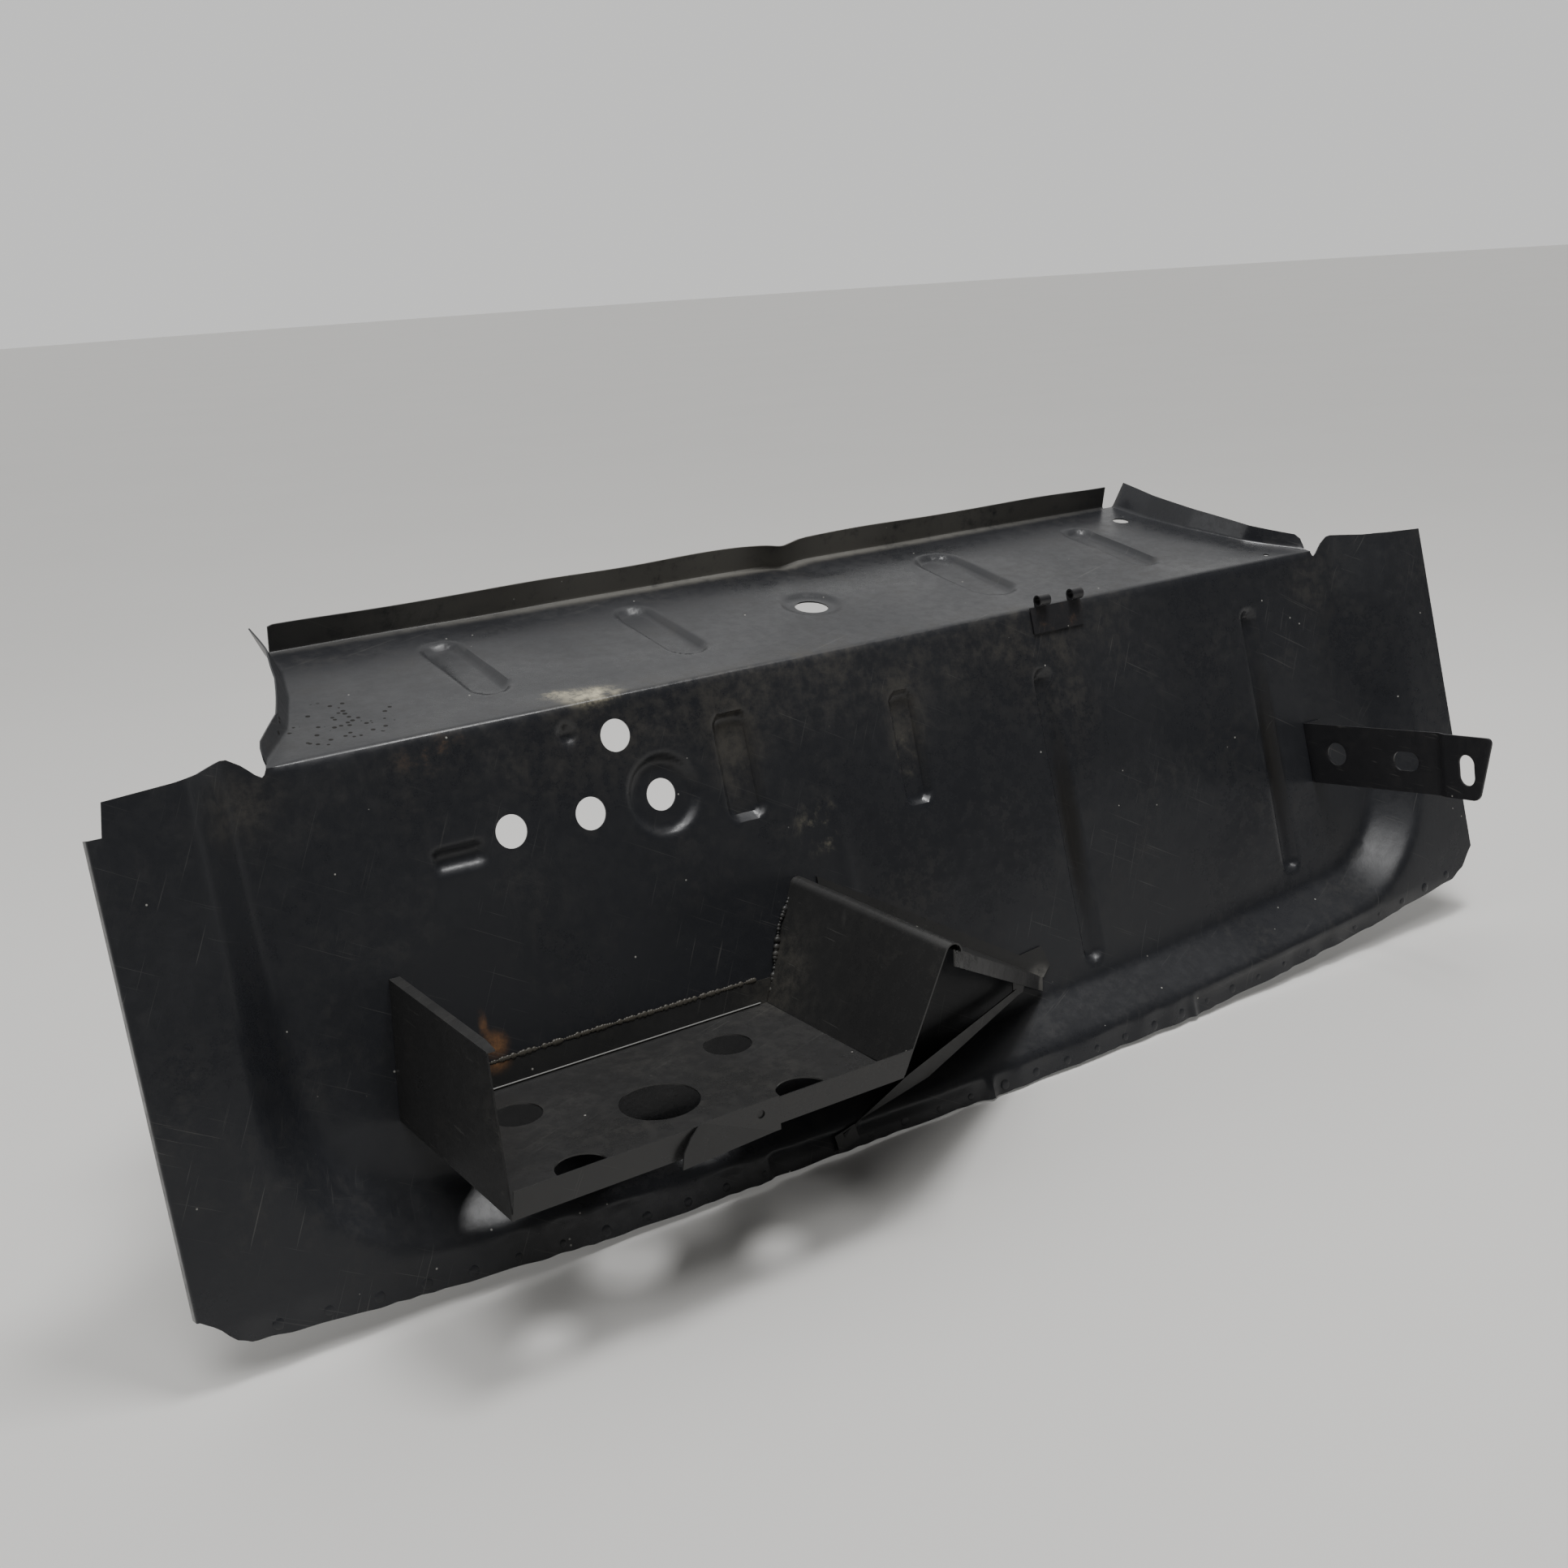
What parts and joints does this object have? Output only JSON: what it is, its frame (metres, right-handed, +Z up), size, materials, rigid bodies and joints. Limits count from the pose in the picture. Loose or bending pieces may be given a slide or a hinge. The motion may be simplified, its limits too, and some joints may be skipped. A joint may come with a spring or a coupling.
{
  "type": "vehicle bulkhead panel with battery tray",
  "caption": "Black pressed-steel vehicle bulkhead panel: a recessed face with a folded shelf, a welded battery tray with brace, a clamp tab, a strap bracket and a loop clip.",
  "frame": {"origin": "centre of the round hole in the middle of the shelf", "axes": "X to the right along the panel seen from the tray side, Y to the back, Z up and square to the level battery tray"},
  "size_m": [1.29, 0.4542, 0.4337],
  "materials": {
    "panel_coating": "satin",
    "tray_coating": "satin",
    "bracket_coating": "satin"
  },
  "bodies": {
    "root": {"bulkhead_panel": "panel_coating", "tray_floor": "tray_coating", "tray_left_wall": "tray_coating", "tray_right_wall": "tray_coating", "tray_brace": "tray_coating", "clamp_tab": "tray_coating", "strap_bracket": "bracket_coating", "loop_clip": "bracket_coating"}
  },
  "joints": []
}
